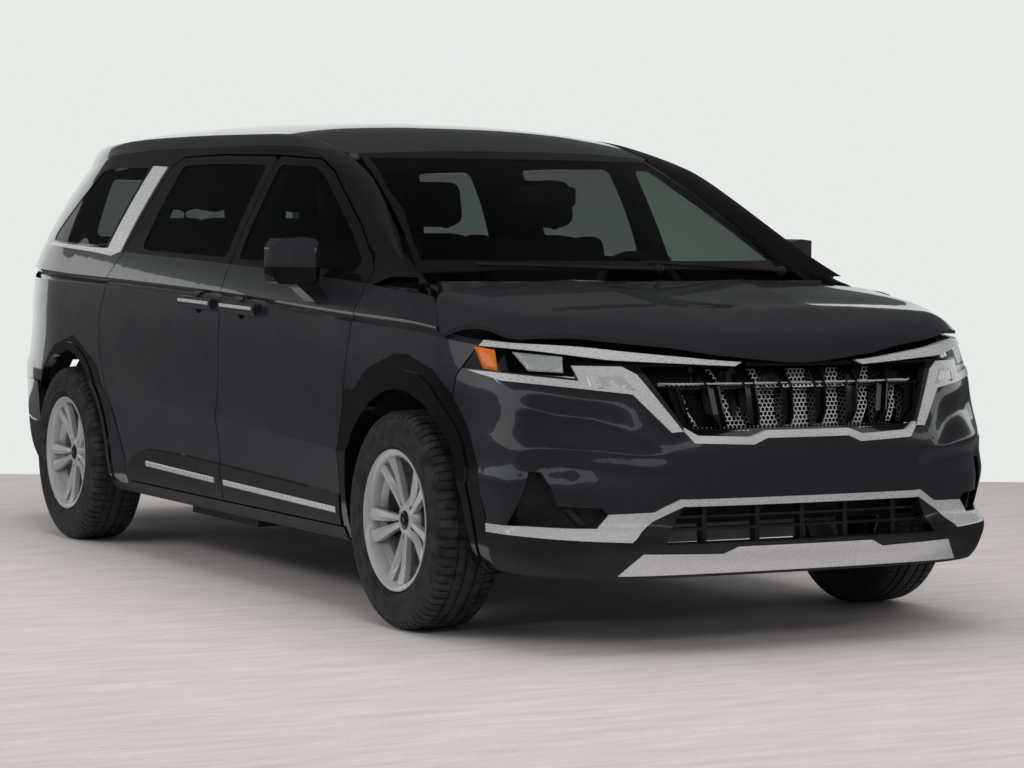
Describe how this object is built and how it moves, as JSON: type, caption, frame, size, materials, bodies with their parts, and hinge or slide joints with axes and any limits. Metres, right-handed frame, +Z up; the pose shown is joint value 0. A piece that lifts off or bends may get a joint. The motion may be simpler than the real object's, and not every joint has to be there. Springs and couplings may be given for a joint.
{
  "type": "minivan",
  "caption": "Full-size minivan with a hollow cabin, hinged front doors, bonnet and tailgate, side doors, glass, seats, steered front wheels and a ribbed grille.",
  "frame": {"origin": "on the ground under the middle of the overall box", "axes": "+Z up, -Y towards the front of the van, -X towards its right side"},
  "size_m": [2.2126, 5.1551, 1.7179],
  "materials": {
    "black_plastic": "grained black plastic",
    "body_paint": "dark slate-grey metallic paint",
    "cabin_plastic": "soft dark plastic",
    "cast_steel": "cast iron and steel",
    "clear_glass": "clear glass",
    "dark_glass": "tinted glass",
    "engine_alloy": "cast alloy",
    "exhaust_steel": "steel",
    "gloss_black": "gloss black plastic",
    "lamp_glass": "clear lamp cover",
    "lamp_red": "red lamp cover",
    "satin_chrome": "satin chrome",
    "seat_cover": "dark leather",
    "tyre": "black tyre rubber",
    "underbody_paint": "black-painted steel",
    "wheel_alloy": "silver painted alloy"
  },
  "bodies": {
    "body": {"arch_trims": "gloss_black", "body_side_left": "body_paint", "body_side_right": "body_paint", "dashboard": "cabin_plastic", "engine": "engine_alloy", "exhaust": "exhaust_steel", "fenders": "body_paint", "floor_pan": "underbody_paint", "front_bumper": "body_paint", "front_lip": "black_plastic", "front_seats": "seat_cover", "front_structure": "underbody_paint", "front_subframe": "cast_steel", "front_trim": "satin_chrome", "fuel_tank": "black_plastic", "grille": "gloss_black", "headlamps": "lamp_glass", "lower_intake": "black_plastic", "pillar_trims": "satin_chrome", "rear_axle": "cast_steel", "rear_bumper": "body_paint", "rear_seats": "seat_cover", "rear_side_glass": "dark_glass", "roof_panel": "body_paint", "sill_trims": "black_plastic", "sliding_door_left": "body_paint", "sliding_door_right": "body_paint", "steering_wheel": "cabin_plastic", "tail_lamps": "lamp_red", "windscreen": "clear_glass", "wipers": "black_plastic"},
    "bonnet": {"bonnet": "body_paint"},
    "front_door_right": {"front_door_right": "body_paint", "front_door_right_glass": "clear_glass", "mirror_right": "body_paint"},
    "front_door_left": {"front_door_left": "body_paint", "front_door_left_glass": "clear_glass", "mirror_left": "body_paint"},
    "tailgate": {"tailgate": "body_paint", "tailgate_glass": "dark_glass", "tailgate_lamp": "lamp_red"},
    "front_knuckle_right": {"front_knuckle_right": "cast_steel"},
    "front_knuckle_left": {"front_knuckle_left": "cast_steel"},
    "wheel_front_right": {"tyre_front_right": "tyre", "rim_front_right": "wheel_alloy"},
    "wheel_front_left": {"tyre_front_left": "tyre", "rim_front_left": "wheel_alloy"},
    "wheel_rear_right": {"tyre_rear_right": "tyre", "rim_rear_right": "wheel_alloy"},
    "wheel_rear_left": {"tyre_rear_left": "tyre", "rim_rear_left": "wheel_alloy"}
  },
  "joints": [
    {"name": "bonnet_hinge", "type": "hinge", "parent": "body", "child": "bonnet", "pos_m": [0, -1.625, 1.105], "axis": [-1, 0, 0], "range_deg": [0, 55]},
    {"name": "door_right_hinge", "type": "hinge", "parent": "body", "child": "front_door_right", "pos_m": [-0.975, -1.17498, 0.6], "axis": [0, 0, 1], "range_deg": [0, 65]},
    {"name": "door_left_hinge", "type": "hinge", "parent": "body", "child": "front_door_left", "pos_m": [0.975, -1.17498, 0.6], "axis": [0, 0, -1], "range_deg": [0, 65]},
    {"name": "tailgate_hinge", "type": "hinge", "parent": "body", "child": "tailgate", "pos_m": [0, 2.1624, 1.712], "axis": [1, 0, 0], "range_deg": [0, 80]},
    {"name": "steer_right", "type": "hinge", "parent": "body", "child": "front_knuckle_right", "pos_m": [-0.8, -1.6425, 0.195], "axis": [0.2283, 0, 0.9736], "range_deg": [-32, 32]},
    {"name": "steer_left", "type": "hinge", "parent": "body", "child": "front_knuckle_left", "pos_m": [0.8, -1.6425, 0.195], "axis": [-0.2283, 0, 0.9736], "range_deg": [-32, 32]},
    {"name": "wheel_front_right_spin", "type": "hinge", "parent": "front_knuckle_right", "child": "wheel_front_right", "pos_m": [-0.873, -1.6425, 0.358], "axis": [1, 0, 0], "continuous": true},
    {"name": "wheel_front_left_spin", "type": "hinge", "parent": "front_knuckle_left", "child": "wheel_front_left", "pos_m": [0.873, -1.6425, 0.358], "axis": [1, 0, 0], "continuous": true},
    {"name": "wheel_rear_right_spin", "type": "hinge", "parent": "body", "child": "wheel_rear_right", "pos_m": [-0.873, 1.4475, 0.358], "axis": [1, 0, 0], "continuous": true},
    {"name": "wheel_rear_left_spin", "type": "hinge", "parent": "body", "child": "wheel_rear_left", "pos_m": [0.873, 1.4475, 0.358], "axis": [1, 0, 0], "continuous": true}
  ],
  "couplings": [
    {"joint": "steer_left", "follows": "steer_right", "ratio": 1}
  ]
}
